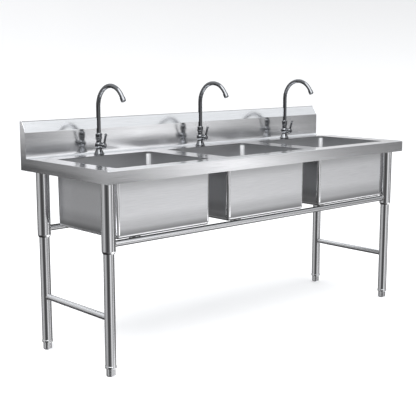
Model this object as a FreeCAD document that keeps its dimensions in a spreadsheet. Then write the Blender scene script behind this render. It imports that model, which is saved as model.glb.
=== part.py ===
"""Three compartment sink: a pressed steel worktop with three welded basins and a splashback, on four
sleeved tube legs with screw-in feet, with three swan-neck taps and a basket strainer in each basin.

The frame is +Z up, with the origin on the floor under the middle of the worktop. The front faces -Y.
Lengths are millimetres and angles are degrees.
"""
import FreeCAD, Part
import os
from math import pi

import Sketcher

SIZES = {
    # worktop and splashback
    "top_length": 1800,
    "top_depth": 600,
    "deck_height": 800,
    "apron_height": 50,
    "gauge": 1.2,
    "bend_radius": 3,
    "cove_radius": 8,
    "lip_width": 12,
    "splash_rise": 150,
    "splash_face": 106,
    "splash_reach": 40,
    "splash_ledge": 15,
    "splash_return": 22,
    # basins
    "basin_pitch": 580,
    "basin_width": 480,
    "basin_reach": 400,
    "basin_middle": -40,
    "basin_drop": 272,
    "basin_taper": 0.6,
    "basin_corner": 15,
    "basin_foot_bend": 11,
    "basin_flange": 8,
    # stiffeners and leg plates under the deck
    "channel_width": 60,
    "channel_height": 25,
    "channel_length": 540,
    "channel_middle": -15,
    "plate_width": 66,
    "plate_length": 86,
    "plate_gauge": 3,
    "plate_out": 863,
    # legs, sleeves, rails and rungs
    "leg_out": 857,
    "front_leg": -237,
    "rear_leg": 207,
    "leg_width": 42.4,
    "leg_wall": 1.5,
    "leg_top": 760,
    "sleeve_width": 54,
    "sleeve_wall": 2,
    "sleeve_bottom": 480,
    "sleeve_roll": 9,
    "sleeve_round": 6,
    "rail_width": 25,
    "rail_wall": 1.5,
    "rail_height": 514,
    "rung_height": 228,
    # set screws that hold the legs in their sleeves
    "screw_height": 560,
    "screw_width": 8,
    "screw_head": 13,
    "screw_head_rise": 5.3,
    "screw_nut_flats": 13,
    "screw_nut_rise": 6.5,
    # feet
    "foot_rise": 32,
    "foot_width": 36,
    "foot_edge": 5,
    "foot_flute": 2.2,
    "foot_gap": 0.5,
    "collar_width": 45,
    "collar_rise": 10,
    "collar_round": 1.5,
    "plug_rise": 30,
    "stem_width": 12,
    "stem_bottom": 12,
    "stem_top": 84,
    "running_gap": 0.05,
    "slack": 0.4,
    # taps
    "tap_back": 198,
    "tap_hole": 26,
    "shank_width": 24,
    "shank_drop": 45,
    "shank_thread": 14,
    "inlet_width": 21,
    "gasket_width": 42,
    "gasket_rise": 1.5,
    "tap_base": 41,
    "tap_waist": 26,
    "tap_skirt": 21,
    "tap_ball": 34,
    "valve_height": 38,
    "valve_width": 24,
    "valve_reach": 27,
    "neck_width": 22,
    "neck_top": 66,
    "spigot_width": 16,
    "spigot_top": 84,
    "waterway": 9,
    "cartridge_width": 17,
    "cartridge_length": 15,
    "spindle_width": 8,
    "cap_width": 26,
    "cap_reach": 44,
    "cap_dome": 8,
    "lever_length": 50,
    "lever_lean": 18,
    "lever_root": 10,
    "lever_tip": 8.5,
    "lever_knob": 12,
    "spout_width": 18.5,
    "spout_wall": 1.5,
    "spout_collar": 27,
    "spout_collar_top": 90,
    "spout_bend": 90,
    "spout_shoulder": 200,
    "spout_sweep": 150,
    "nozzle_width": 22,
    "nozzle_length": 18,
    "nozzle_bore": 13,
    "nozzle_round": 1,
    "tap_nut_flats": 36,
    "tap_nut_rise": 8,
    # drains and basket strainers
    "drain_flange": 88,
    "drain_flange_rise": 2,
    "drain_cup": 58,
    "drain_cup_drop": 26,
    "drain_tail": 48,
    "drain_tail_drop": 57,
    "drain_wall": 1.5,
    "drain_gasket_rise": 3,
    "drain_nut_flats": 78,
    "drain_nut_rise": 12,
    "basket_width": 53,
    "basket_rim": 66,
    "basket_wall": 1.2,
    "basket_drop": 22,
    "basket_post": 6,
    "basket_knob": 14,
    "basket_knob_top": 22,
    "basket_hole": 5,
}

FOOT_FLUTES = 12
BASKET_HOLES = ((0.32, 6), (0.66, 12))
SIDES = {"left": -1, "middle": 0, "right": 1}
CORNERS = {
    "front_left": (-1, "front_leg"),
    "front_right": (1, "front_leg"),
    "rear_left": (-1, "rear_leg"),
    "rear_right": (1, "rear_leg"),
}

doc = FreeCAD.newDocument("three_compartment_sink")
sheet = doc.addObject("Spreadsheet::Sheet", "Sizes")
parts = []


# ---------------------------------------------------------------- the driving sizes


def fill_sheet():
    """Write each driving size and its alias on a row of its own."""
    for row, (name, value) in enumerate(SIZES.items(), 1):
        sheet.set(f"A{row}", name)
        sheet.set(f"B{row}", str(value))
        sheet.setAlias(f"B{row}", name)
    doc.recompute()


def size(formula):
    """The number that a formula of sheet aliases comes to."""
    return float(sheet.evalExpression(formula.replace("Sizes.", "")))


# ---------------------------------------------------------------- shared ways of making a piece


def new_body(name):
    """An empty body, labelled with its own name."""
    body = doc.addObject("PartDesign::Body", name)
    body.Label = name
    return body


def keep(piece):
    """Count a finished piece as one of the sink's nodes."""
    doc.recompute()
    parts.append(piece)
    return piece


def place(piece, across="0", back="0", up="0", turned=None):
    """Bind a piece's position to the sheet, and turn it if a rotation is given."""
    if turned is not None:
        piece.Placement = FreeCAD.Placement(FreeCAD.Vector(), turned)
    for axis, formula in (("x", across), ("y", back), ("z", up)):
        piece.setExpression(f"Placement.Base.{axis}", formula)
    return piece


def new_sketch(body, role, name, lift=None):
    """A sketch on one of the body's own origin planes, lifted along the plane's normal if asked."""
    sketch = body.newObject("Sketcher::SketchObject", name)
    plane = next(datum for datum in body.Origin.OriginFeatures if datum.Role == role)
    sketch.AttachmentSupport = [(plane, "")]
    sketch.MapMode = "FlatFace"
    if lift is not None:
        sketch.setExpression("AttachmentOffset.Base.z", lift)
    return sketch


def pin_point(sketch, geometry, end, across, up):
    """Hold one point of a sketch at sheet formulas, measured from the sketch's origin."""
    for kind, formula in (("DistanceX", across), ("DistanceY", up)):
        index = sketch.addConstraint(Sketcher.Constraint(kind, -1, 1, geometry, end, size(formula)))
        sketch.setExpression(f"Constraints[{index}]", formula)


def polygon(sketch, corners):
    """A closed outline through corners given as pairs of sheet formulas."""
    spots = [FreeCAD.Vector(size(across), size(up), 0) for across, up in corners]
    first = sketch.GeometryCount
    count = len(spots)
    for i in range(count):
        sketch.addGeometry(Part.LineSegment(spots[i], spots[(i + 1) % count]), False)
    for i in range(count):
        joint = Sketcher.Constraint("Coincident", first + i, 2, first + (i + 1) % count, 1)
        sketch.addConstraint(joint)
    for i, (across, up) in enumerate(corners):
        pin_point(sketch, first + i, 1, across, up)
    return sketch


def rectangle(sketch, width, height, across="0", up="0"):
    """A closed rectangle about a middle point."""
    left, right = f"{across} - ({width}) / 2", f"{across} + ({width}) / 2"
    low, high = f"{up} - ({height}) / 2", f"{up} + ({height}) / 2"
    return polygon(sketch, [(left, low), (right, low), (right, high), (left, high)])


def rounded_rectangle(sketch, width, height, radius, across="0", up="0"):
    """A closed rectangle about a middle point, with its four corners rounded alike."""
    half_width, half_height, bend = size(f"({width}) / 2"), size(f"({height}) / 2"), size(radius)
    middle = FreeCAD.Vector(size(across), size(up), 0)
    first = sketch.GeometryCount
    for quarter in range(4):
        turned = FreeCAD.Rotation(FreeCAD.Vector(0, 0, 1), 90 * quarter)
        run, rise = (half_width, half_height) if quarter % 2 == 0 else (half_height, half_width)
        start, end = (FreeCAD.Vector(way * (run - bend), -rise, 0) for way in (-1, 1))
        hub = middle + turned.multVec(FreeCAD.Vector(run - bend, bend - rise, 0))
        edge = Part.LineSegment(middle + turned.multVec(start), middle + turned.multVec(end))
        corner = Part.Circle(hub, FreeCAD.Vector(0, 0, 1), bend)
        sketch.addGeometry(edge, False)
        sketch.addGeometry(Part.ArcOfCircle(corner, (quarter - 1) * pi / 2, quarter * pi / 2), False)
    for quarter in range(4):
        edge, corner = first + 2 * quarter, first + 2 * quarter + 1
        sketch.addConstraint(Sketcher.Constraint("Tangent", edge, 2, corner, 1))
        sketch.addConstraint(Sketcher.Constraint("Tangent", corner, 2, first + (2 * quarter + 2) % 8, 1))
        sketch.addConstraint(Sketcher.Constraint("Horizontal" if quarter % 2 == 0 else "Vertical", edge))
        bound = sketch.addConstraint(Sketcher.Constraint("Radius", corner, bend))
        sketch.setExpression(f"Constraints[{bound}]", radius)
    pin_point(sketch, first + 2, 1, f"{across} + ({width}) / 2", f"{up} - ({height}) / 2 + {radius}")
    pin_point(sketch, first + 6, 1, f"{across} - ({width}) / 2", f"{up} + ({height}) / 2 - ({radius})")
    return sketch


def circle(sketch, width, across="0", up="0"):
    """A circle of a given diameter about a point."""
    centre = FreeCAD.Vector(size(across), size(up), 0)
    index = sketch.addGeometry(Part.Circle(centre, FreeCAD.Vector(0, 0, 1), size(width) / 2), False)
    pin_point(sketch, index, 3, across, up)
    bound = sketch.addConstraint(Sketcher.Constraint("Diameter", index, size(width)))
    sketch.setExpression(f"Constraints[{bound}]", width)
    return sketch


def hexagon(sketch, flats):
    """A regular hexagon about the origin, sized across its flats."""
    half, corner = f"{flats} / 2", f"{flats} / sqrt(3)"
    ring = [
        (corner, "0"), (f"{corner} / 2", half), (f"-{corner} / 2", half),
        (f"-{corner}", "0"), (f"-{corner} / 2", f"-{half}"), (f"{corner} / 2", f"-{half}"),
    ]
    return polygon(sketch, ring)


def pad(body, sketch, name, length, both_ways=False, backwards=False, taper=None):
    """Grow a sketch into a solid."""
    feature = body.newObject("PartDesign::Pad", name)
    feature.Profile = sketch
    feature.Midplane = both_ways
    feature.Reversed = backwards
    feature.setExpression("Length", length)
    if taper is not None:
        feature.setExpression("TaperAngle", taper)
    return feature


def pocket(body, sketch, name, length=None, both_ways=False, backwards=False, taper=None):
    """Cut a sketch out of the body, right through unless a depth is given."""
    feature = body.newObject("PartDesign::Pocket", name)
    feature.Profile = sketch
    feature.Midplane = both_ways
    feature.Reversed = backwards
    if length is None:
        feature.Type = "ThroughAll"
    else:
        feature.setExpression("Length", length)
    if taper is not None:
        feature.setExpression("TaperAngle", taper)
    return feature


def turn(body, profile, name="turning", role="XZ_Plane", axis="V_Axis", kind="Revolution"):
    """Turn a closed profile once round an axis of its own sketch, to add or to cut."""
    sketch = polygon(new_sketch(body, role, name + "_profile"), profile)
    feature = body.newObject("PartDesign::" + kind, name)
    feature.Profile = sketch
    feature.ReferenceAxis = (sketch, [axis])
    feature.Angle = 360
    return feature


def fillet(body, name, radius, chosen):
    """Round the edges of the body's latest feature that the test picks out."""
    doc.recompute()
    base = body.Tip
    edges = [f"Edge{i}" for i, edge in enumerate(base.Shape.Edges, 1) if chosen(edge)]
    feature = body.newObject("PartDesign::Fillet", name)
    feature.Base = (base, edges)
    feature.setExpression("Radius", radius)
    doc.recompute()
    return feature


def repeat_round(body, feature, name, count):
    """Repeat a feature evenly round the body's Z axis."""
    doc.recompute()
    pattern = body.newObject("PartDesign::PolarPattern", name)
    pattern.Originals = [feature]
    axis = next(datum for datum in body.Origin.OriginFeatures if datum.Role == "Z_Axis")
    pattern.Axis = (axis, [""])
    pattern.Angle = 360
    pattern.Occurrences = count
    body.Tip = pattern
    return pattern


def group(name, members):
    """Several alike loose pieces as one node."""
    compound = doc.addObject("Part::Compound", name)
    compound.Label = name
    compound.Links = members
    return keep(compound)


def ring(inside, outside, low, high):
    """The half section of a plain ring, from two diameters and two heights."""
    inner, outer = f"({inside}) / 2", f"({outside}) / 2"
    return [(inner, low), (outer, low), (outer, high), (inner, high)]


def along_x(edge):
    """Whether an edge runs straight along X."""
    box = edge.BoundBox
    return box.XLength > 1 and box.YLength < 0.01 and box.ZLength < 0.01


# ---------------------------------------------------------------- worktop, ends and stiffeners

FRONT, BACK = "-Sizes.top_depth / 2", "Sizes.top_depth / 2"
DECK, SKIRT = "Sizes.deck_height", "Sizes.deck_height - Sizes.apron_height"
SPLASH_FACE = "Sizes.top_depth / 2 - Sizes.splash_reach"
SPLASH_TOP = "Sizes.deck_height + Sizes.splash_rise"
UNDERSIDE = "Sizes.deck_height - Sizes.gauge"


def side_section(body, name, lift=None):
    """The outline of the worktop seen from its end, from the front apron to the splashback."""
    corners = [
        (FRONT, SKIRT),
        (FRONT, DECK),
        (SPLASH_FACE, DECK),
        (SPLASH_FACE, "Sizes.deck_height + Sizes.splash_face"),
        ("Sizes.top_depth / 2 - Sizes.splash_ledge", SPLASH_TOP),
        (BACK, SPLASH_TOP),
        (BACK, SKIRT),
    ]
    return polygon(new_sketch(body, "YZ_Plane", name, lift), corners)


def round_bends(body):
    """Round the folds of the worktop's section: the cove of the splash, and then every outer bend."""
    low, deck, face = size(SKIRT), size(DECK), size(SPLASH_FACE)

    def in_cove(edge):
        box = edge.BoundBox
        return along_x(edge) and abs(box.YMin - face) < 0.1 and abs(box.ZMin - deck) < 0.1

    def on_bend(edge):
        box = edge.BoundBox
        at_cove = box.YMin > face - 20 and box.ZMin < deck + 20
        return along_x(edge) and box.ZMin > low + 1 and not at_cove

    fillet(body, "cove", "Sizes.cove_radius", in_cove)
    fillet(body, "bends", "Sizes.bend_radius", on_bend)


def hollow_out(body):
    """Cut away all but the sheet's own gauge, leaving the section open below and behind, with a return
    folded down along the back of the splash's ledge."""
    gauge, outward = "Sizes.gauge", "Sizes.bend_radius"
    lean = ("atan((Sizes.splash_reach - Sizes.splash_ledge)"
            " / (Sizes.splash_rise - Sizes.splash_face))")
    under_ledge = f"{SPLASH_TOP} - {gauge}"
    front, inner_face = f"{FRONT} + {gauge}", f"{SPLASH_FACE} + {gauge}"
    inner_back, return_edge = f"{BACK} - {gauge}", f"{SPLASH_TOP} - Sizes.splash_return"
    cavity = polygon(new_sketch(body, "YZ_Plane", "cavity_section"), [
        (front, f"{SKIRT} - {outward}"),
        (front, UNDERSIDE),
        (inner_face, UNDERSIDE),
        (inner_face, f"{DECK} + Sizes.splash_face - {gauge} * tan({lean} / 2)"),
        (f"{BACK} - Sizes.splash_ledge + {gauge} * tan((90 deg - {lean}) / 2)", under_ledge),
        (inner_back, under_ledge),
        (inner_back, return_edge),
        (f"{BACK} + {outward}", return_edge),
        (f"{BACK} + {outward}", f"{SKIRT} - {outward}"),
    ])
    pocket(body, cavity, "cavity", both_ways=True)
    face, underside, top = size(inner_face), size(UNDERSIDE), size(under_ledge)

    def inside_cove(edge):
        box = edge.BoundBox
        return along_x(edge) and abs(box.YMin - face) < 0.1 and abs(box.ZMin - underside) < 0.1

    def inside_bend(edge):
        box = edge.BoundBox
        at_apron = abs(box.YMin - size(front)) < 0.1 and abs(box.ZMin - underside) < 0.1
        at_slope = abs(box.YMin - face) < 0.1 and box.ZMin > size(DECK) + 50
        at_ledge = abs(box.ZMin - top) < 0.1
        return along_x(edge) and (at_apron or at_slope or at_ledge)

    fillet(body, "inside_cove", f"Sizes.cove_radius + {gauge}", inside_cove)
    fillet(body, "inside_bends", f"{outward} - {gauge}", inside_bend)


def worktop_deck():
    """The deck with its front apron and splashback, folded from one sheet and open below and behind."""
    body = new_body("worktop_deck")
    length = "Sizes.top_length - 2 * Sizes.gauge"
    pad(body, side_section(body, "section"), "blank", length, both_ways=True)
    round_bends(body)
    hollow_out(body)

    hem = new_sketch(body, "YZ_Plane", "hem_section")
    rectangle(hem, "Sizes.lip_width", "Sizes.gauge",
              "-Sizes.top_depth / 2 + Sizes.lip_width / 2", f"{SKIRT} + Sizes.gauge / 2")
    pad(body, hem, "front_hem", length, both_ways=True)

    openings = new_sketch(body, "XY_Plane", "basin_openings", DECK)
    taps = new_sketch(body, "XY_Plane", "tap_holes", DECK)
    for side in SIDES.values():
        across = f"{side} * Sizes.basin_pitch"
        rounded_rectangle(openings, "Sizes.basin_width", "Sizes.basin_reach", "Sizes.basin_corner",
                          across, "Sizes.basin_middle")
        circle(taps, "Sizes.tap_hole", across, "Sizes.tap_back")
    pocket(body, openings, "basin_cutouts", "2 * Sizes.gauge")
    pocket(body, taps, "tap_cutouts", "2 * Sizes.gauge")
    return keep(body)


def end_plate(name, side):
    """The flat plate that closes one end of the worktop and its splashback."""
    body = new_body(name)
    sketch = side_section(body, "section", f"{side} * (Sizes.top_length - Sizes.gauge) / 2")
    pad(body, sketch, "plate", "Sizes.gauge", both_ways=True)
    round_bends(body)
    inner = f"{side} * (Sizes.top_length / 2 - Sizes.gauge - Sizes.lip_width / 2)"
    hem = new_sketch(body, "XZ_Plane", "hem_section")
    rectangle(hem, "Sizes.lip_width", "Sizes.gauge", inner, f"{SKIRT} + Sizes.gauge / 2")
    pad(body, hem, "hem", "Sizes.top_depth - 4 * Sizes.lip_width", both_ways=True)
    return keep(body)


def stiffener_channels():
    """Two channels welded under the deck, one in each gap between the basins."""
    channels = []
    half, drop = "Sizes.channel_width / 2", "-Sizes.channel_height"
    section = [
        (f"-{half}", drop), (f"-{half}", "0"), (half, "0"), (half, drop),
        (f"{half} - Sizes.rail_wall", drop), (f"{half} - Sizes.rail_wall", "-Sizes.rail_wall"),
        (f"-{half} + Sizes.rail_wall", "-Sizes.rail_wall"), (f"-{half} + Sizes.rail_wall", drop),
    ]
    for side in (-1, 1):
        body = new_body("stiffener_channel")
        sketch = polygon(new_sketch(body, "XZ_Plane", "channel_section"), section)
        pad(body, sketch, "channel", "Sizes.channel_length", both_ways=True)
        place(body, f"{side} * Sizes.basin_pitch / 2", "Sizes.channel_middle", UNDERSIDE)
        channels.append(body)
    return group("stiffener_channels", channels)


def leg_mount_plates():
    """Four flat plates under the deck's corners, to which the sleeves are welded."""
    plates = []
    for side, row in CORNERS.values():
        plate = doc.addObject("Part::Box", "leg_mount_plate")
        plate.setExpression("Length", "Sizes.plate_width")
        plate.setExpression("Width", "Sizes.plate_length")
        plate.setExpression("Height", "Sizes.plate_gauge")
        place(plate, f"{side} * Sizes.plate_out - Sizes.plate_width / 2",
              f"Sizes.{row} - Sizes.plate_length / 2", f"{UNDERSIDE} - Sizes.plate_gauge")
        plates.append(plate)
    return group("leg_mount_plates", plates)


# ---------------------------------------------------------------- basins


def fillet_floor(body, name, radius, depth):
    """Round the ring of edges at a given depth below the body's own origin."""
    floor = -size(depth)

    def on_floor(edge):
        box = edge.BoundBox
        return abs(box.ZMax - floor) < 0.01 and abs(box.ZMin - floor) < 0.01

    fillet(body, name, radius, on_floor)


def basin(name, side):
    """A deep-drawn basin with a flange that laps under the deck. Its own origin is at the rim's level."""
    body = new_body(name)
    gauge, drop, corner = "Sizes.gauge", "Sizes.basin_drop", "Sizes.basin_corner"
    outer = new_sketch(body, "XY_Plane", "outside_rim")
    rounded_rectangle(outer, f"Sizes.basin_width + 2 * {gauge}", f"Sizes.basin_reach + 2 * {gauge}",
                      f"{corner} + {gauge}")
    pad(body, outer, "outside", drop, backwards=True, taper="-Sizes.basin_taper")
    flange = new_sketch(body, "XY_Plane", "flange_rim")
    rounded_rectangle(flange, "Sizes.basin_width + 2 * Sizes.basin_flange",
                      "Sizes.basin_reach + 2 * Sizes.basin_flange", f"{corner} + Sizes.basin_flange")
    pad(body, flange, "flange", gauge, backwards=True)

    inner = new_sketch(body, "XY_Plane", "inside_rim")
    rounded_rectangle(inner, "Sizes.basin_width", "Sizes.basin_reach", corner)
    depth = f"{drop} - {gauge}"
    pocket(body, inner, "inside", depth, taper="-Sizes.basin_taper")
    fillet_floor(body, "inside_foot", "Sizes.basin_foot_bend", depth)
    fillet_floor(body, "outside_foot", f"Sizes.basin_foot_bend + {gauge}", drop)
    hole = circle(new_sketch(body, "XY_Plane", "drain_hole"), "Sizes.drain_cup + 2 * Sizes.slack")
    pocket(body, hole, "drain_opening")
    place(body, f"{side} * Sizes.basin_pitch", "Sizes.basin_middle", UNDERSIDE)
    return keep(body)


# ---------------------------------------------------------------- frame


def at_corner(piece, corner, up="0", turned=None):
    """Stand a piece on the axis of one of the four legs."""
    side, row = CORNERS[corner]
    return place(piece, f"{side} * Sizes.leg_out", f"Sizes.{row}", up, turned)


def sleeve(corner):
    """The outer tube that a leg slides up into, rolled in to the leg at its lower end."""
    body = new_body("sleeve_" + corner)
    top = f"{UNDERSIDE} - Sizes.plate_gauge"
    outer, wall = "Sizes.sleeve_width / 2", "Sizes.sleeve_wall"
    snug, low = "Sizes.leg_width / 2 + Sizes.slack / 2", "Sizes.sleeve_bottom"
    turn(body, [
        (snug, low), (f"{snug} + {wall}", low), (outer, f"{low} + Sizes.sleeve_roll"), (outer, top),
        (f"{outer} - {wall}", top), (f"{outer} - {wall}", f"{low} + Sizes.sleeve_roll + 1"),
        (snug, f"{low} + {wall}"),
    ])
    shoulder = size(f"{low} + Sizes.sleeve_roll")

    def on_shoulder(edge):
        box = edge.BoundBox
        return abs(box.ZMax - shoulder) < 0.01 and abs(box.ZMin - shoulder) < 0.01

    fillet(body, "rolled_shoulder", "Sizes.sleeve_round", on_shoulder)
    hole = new_sketch(body, "XZ_Plane", "screw_hole")
    circle(hole, "Sizes.screw_width + Sizes.slack", "0", "Sizes.screw_height")
    pocket(body, hole, "screw_opening", "Sizes.sleeve_width")
    at_corner(body, corner)
    return keep(body)


def leg(corner):
    """A round leg tube, from the foot's collar up into the sleeve."""
    body = new_body("leg_" + corner)
    bottom = "Sizes.foot_rise + Sizes.collar_rise"
    turn(body, ring("Sizes.leg_width - 2 * Sizes.leg_wall", "Sizes.leg_width", bottom, "Sizes.leg_top"))
    at_corner(body, corner)
    return keep(body)


def rail(name, row):
    """A tube between the two sleeves of a row, its ends cut to sit round them."""
    body = new_body(name)
    section = new_sketch(body, "YZ_Plane", "tube_section")
    circle(section, "Sizes.rail_width")
    circle(section, "Sizes.rail_width - 2 * Sizes.rail_wall")
    pad(body, section, "tube", "2 * Sizes.leg_out", both_ways=True)
    for side in (-1, 1):
        cope = circle(new_sketch(body, "XY_Plane", "cope_outline"), "Sizes.sleeve_width",
                      f"{side} * Sizes.leg_out")
        pocket(body, cope, "cope", "2 * Sizes.rail_width", both_ways=True)
    place(body, "0", f"Sizes.{row}", "Sizes.rail_height")
    return keep(body)


def rung(name, side):
    """A low tube between the front and rear legs of one side, its ends cut to sit round them."""
    body = new_body(name)
    middle = "(Sizes.front_leg + Sizes.rear_leg) / 2"
    section = new_sketch(body, "XZ_Plane", "tube_section")
    circle(section, "Sizes.rail_width")
    circle(section, "Sizes.rail_width - 2 * Sizes.rail_wall")
    pad(body, section, "tube", "Sizes.rear_leg - Sizes.front_leg", both_ways=True)
    for end in (-1, 1):
        cope = circle(new_sketch(body, "XY_Plane", "cope_outline"), "Sizes.leg_width",
                      "0", f"{end} * (Sizes.rear_leg - Sizes.front_leg) / 2")
        pocket(body, cope, "cope", "2 * Sizes.rail_width", both_ways=True)
    place(body, f"{side} * Sizes.leg_out", middle, "Sizes.rung_height")
    return keep(body)


def sleeve_fastenings():
    """The set screw behind each sleeve, and the nut welded over its hole."""
    screws, nuts = [], []
    outside, tip = "Sizes.sleeve_width / 2", "Sizes.leg_width / 2"
    shank_end = f"{outside} + Sizes.screw_nut_rise"
    pointing_back = FreeCAD.Rotation(FreeCAD.Vector(1, 0, 0), -90)
    for corner in CORNERS:
        screw = new_body("sleeve_set_screw")
        turn(screw, ring("0", "Sizes.screw_width", tip, f"{shank_end} + Sizes.screw_head_rise"))
        turn(screw, ring("0", "Sizes.screw_head", shank_end, f"{shank_end} + Sizes.screw_head_rise"),
             "head")
        nut = new_body("sleeve_weld_nut")
        flats = hexagon(new_sketch(nut, "XY_Plane", "nut_flats", outside), "Sizes.screw_nut_flats")
        pad(nut, flats, "nut", "Sizes.screw_nut_rise")
        thread = circle(new_sketch(nut, "XY_Plane", "thread", outside), "Sizes.screw_width")
        pocket(nut, thread, "bore", "2 * Sizes.sleeve_width", both_ways=True)
        for piece, pieces in ((screw, screws), (nut, nuts)):
            at_corner(piece, corner, "Sizes.screw_height", pointing_back)
            pieces.append(piece)
    group("sleeve_set_screws", screws)
    group("sleeve_weld_nuts", nuts)


# ---------------------------------------------------------------- feet


def foot_insert(corner):
    """The plug pressed into the leg's end, with its collar below and a threaded bore through it."""
    body = new_body("foot_insert_" + corner)
    low, rim = "Sizes.foot_rise", "Sizes.foot_rise + Sizes.collar_rise"
    bore = "Sizes.stem_width + 2 * Sizes.running_gap"
    turn(body, ring(bore, "Sizes.collar_width", low, rim), "collar")
    turn(body, ring(bore, "Sizes.leg_width - 2 * Sizes.leg_wall", rim, f"{rim} + Sizes.plug_rise"), "plug")
    widest = size("Sizes.collar_width")
    fillet(body, "collar_edges", "Sizes.collar_round", lambda edge: edge.BoundBox.XLength > widest - 0.01)
    at_corner(body, corner)
    return keep(body)


def foot_stem(corner):
    """The stem that carries the foot and travels through the insert."""
    body = new_body("foot_stem_" + corner)
    turn(body, ring("0", "Sizes.stem_width", "Sizes.stem_bottom", "Sizes.stem_top"))
    at_corner(body, corner)
    return keep(body)


def foot(corner):
    """The fluted foot that is turned by hand to level the sink."""
    body = new_body("foot_" + corner)
    top = "Sizes.foot_rise - Sizes.foot_gap"
    turn(body, ring("0", "Sizes.foot_width", "0", top))
    fillet(body, "ground_edge", "Sizes.foot_edge", lambda edge: edge.BoundBox.ZMax < 0.01)
    flute = new_sketch(body, "XY_Plane", "flute_outline")
    circle(flute, "2 * Sizes.foot_flute", "Sizes.foot_width / 2 + Sizes.foot_flute / 2")
    cut = pocket(body, flute, "flute", "Sizes.foot_rise", backwards=True)
    repeat_round(body, cut, "flutes", FOOT_FLUTES)
    socket = new_sketch(body, "XY_Plane", "stem_socket", "Sizes.stem_bottom")
    circle(socket, "Sizes.stem_width + 2 * Sizes.running_gap")
    pocket(body, socket, "socket", "Sizes.foot_rise", backwards=True)
    at_corner(body, corner)
    return keep(body)


# ---------------------------------------------------------------- taps

TAP_SEAT = "Sizes.deck_height + Sizes.gasket_rise"


def at_tap(piece, side, up=TAP_SEAT, turned=None):
    """Stand a piece on the axis of a tap."""
    return place(piece, f"{side} * Sizes.basin_pitch", "Sizes.tap_back", up, turned)


def tap_body(name, side):
    """The tap's turned body: a shank through the deck, a flared base, a ball with the valve stub facing
    the user, and the neck and spigot on which the spout swivels."""
    body = new_body(name)
    shank, base, waist = "Sizes.shank_width / 2", "Sizes.tap_base / 2", "Sizes.tap_waist / 2"
    neck, spigot, inlet = "Sizes.neck_width / 2", "Sizes.spigot_width / 2", "Sizes.inlet_width / 2"
    turn(body, [
        ("0", "-Sizes.shank_drop"), (inlet, "-Sizes.shank_drop"), (inlet, "-Sizes.shank_thread"),
        (shank, "-Sizes.shank_thread"), (shank, "0"), (base, "0"),
        (base, "Sizes.tap_skirt / 6"), (waist, "Sizes.tap_skirt"), (neck, "Sizes.valve_height"),
        (neck, "Sizes.neck_top"), (spigot, "Sizes.neck_top"), (spigot, "Sizes.spigot_top"),
        ("0", "Sizes.spigot_top"),
    ], "stand")
    ball = body.newObject("PartDesign::AdditiveSphere", "ball")
    ball.setExpression("Radius", "Sizes.tap_ball / 2")
    ball.setExpression("Placement.Base.z", "Sizes.valve_height")
    stub = new_sketch(body, "XZ_Plane", "stub_outline")
    circle(stub, "Sizes.valve_width", "0", "Sizes.valve_height")
    pad(body, stub, "valve_stub", "Sizes.valve_reach")
    seat = new_sketch(body, "XZ_Plane", "valve_seat_outline", "Sizes.valve_reach")
    circle(seat, "Sizes.cartridge_width", "0", "Sizes.valve_height")
    pocket(body, seat, "valve_seat", "Sizes.cartridge_length")
    way = circle(new_sketch(body, "XY_Plane", "waterway_outline"), "Sizes.waterway")
    pocket(body, way, "waterway", "4 * Sizes.spigot_top", both_ways=True)
    at_tap(body, side)
    return keep(body)


def tap_cartridges():
    """The valve cartridges in the three stubs, each with a bore for its lever's spindle."""
    cartridges = []
    facing_user = FreeCAD.Rotation(FreeCAD.Vector(1, 0, 0), 90)
    bore, wall = "Sizes.spindle_width + 2 * Sizes.running_gap", "Sizes.cartridge_width - Sizes.slack / 2"
    inner_end = "Sizes.valve_reach - Sizes.cartridge_length"
    for side in SIDES.values():
        body = new_body("tap_cartridge")
        turn(body, ring(bore, wall, inner_end, "Sizes.valve_reach"))
        at_tap(body, side, f"{TAP_SEAT} + Sizes.valve_height", facing_user)
        cartridges.append(body)
    return group("tap_cartridges", cartridges)


def tap_lever(name, side):
    """The lever with its domed cap and the spindle that turns the cartridge."""
    body = new_body(name)
    near, far = "-(Sizes.valve_reach + Sizes.slack)", "-Sizes.cap_reach"
    cap, spindle = "Sizes.cap_width / 2", "Sizes.spindle_width / 2"
    inner_end = "-(Sizes.valve_reach - Sizes.cartridge_length + 2)"
    turn(body, [
        (inner_end, "0"), (inner_end, spindle), (near, spindle), (near, cap), (far, cap), (far, "0"),
    ], "cap", "YZ_Plane", "H_Axis")
    front = size(far)
    fillet(body, "dome", "Sizes.cap_dome", lambda edge: edge.BoundBox.YMax < front + 0.01)
    lean = FreeCAD.Rotation(FreeCAD.Vector(1, 0, 0), size("Sizes.lever_lean"))
    root = "-(Sizes.valve_reach + Sizes.cap_reach) / 2"
    stick = body.newObject("PartDesign::AdditiveCone", "stick")
    stick.Placement = FreeCAD.Placement(FreeCAD.Vector(), lean)
    stick.setExpression("Placement.Base.y", root)
    stick.setExpression("Radius1", "Sizes.lever_root / 2")
    stick.setExpression("Radius2", "Sizes.lever_tip / 2")
    stick.setExpression("Height", "Sizes.lever_length")
    knob = body.newObject("PartDesign::AdditiveSphere", "knob")
    knob.setExpression("Radius", "Sizes.lever_knob / 2")
    knob.setExpression("Placement.Base.y", f"{root} - Sizes.lever_length * sin(Sizes.lever_lean)")
    knob.setExpression("Placement.Base.z", "Sizes.lever_length * cos(Sizes.lever_lean)")
    at_tap(body, side, f"{TAP_SEAT} + Sizes.valve_height")
    return keep(body)


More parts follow.
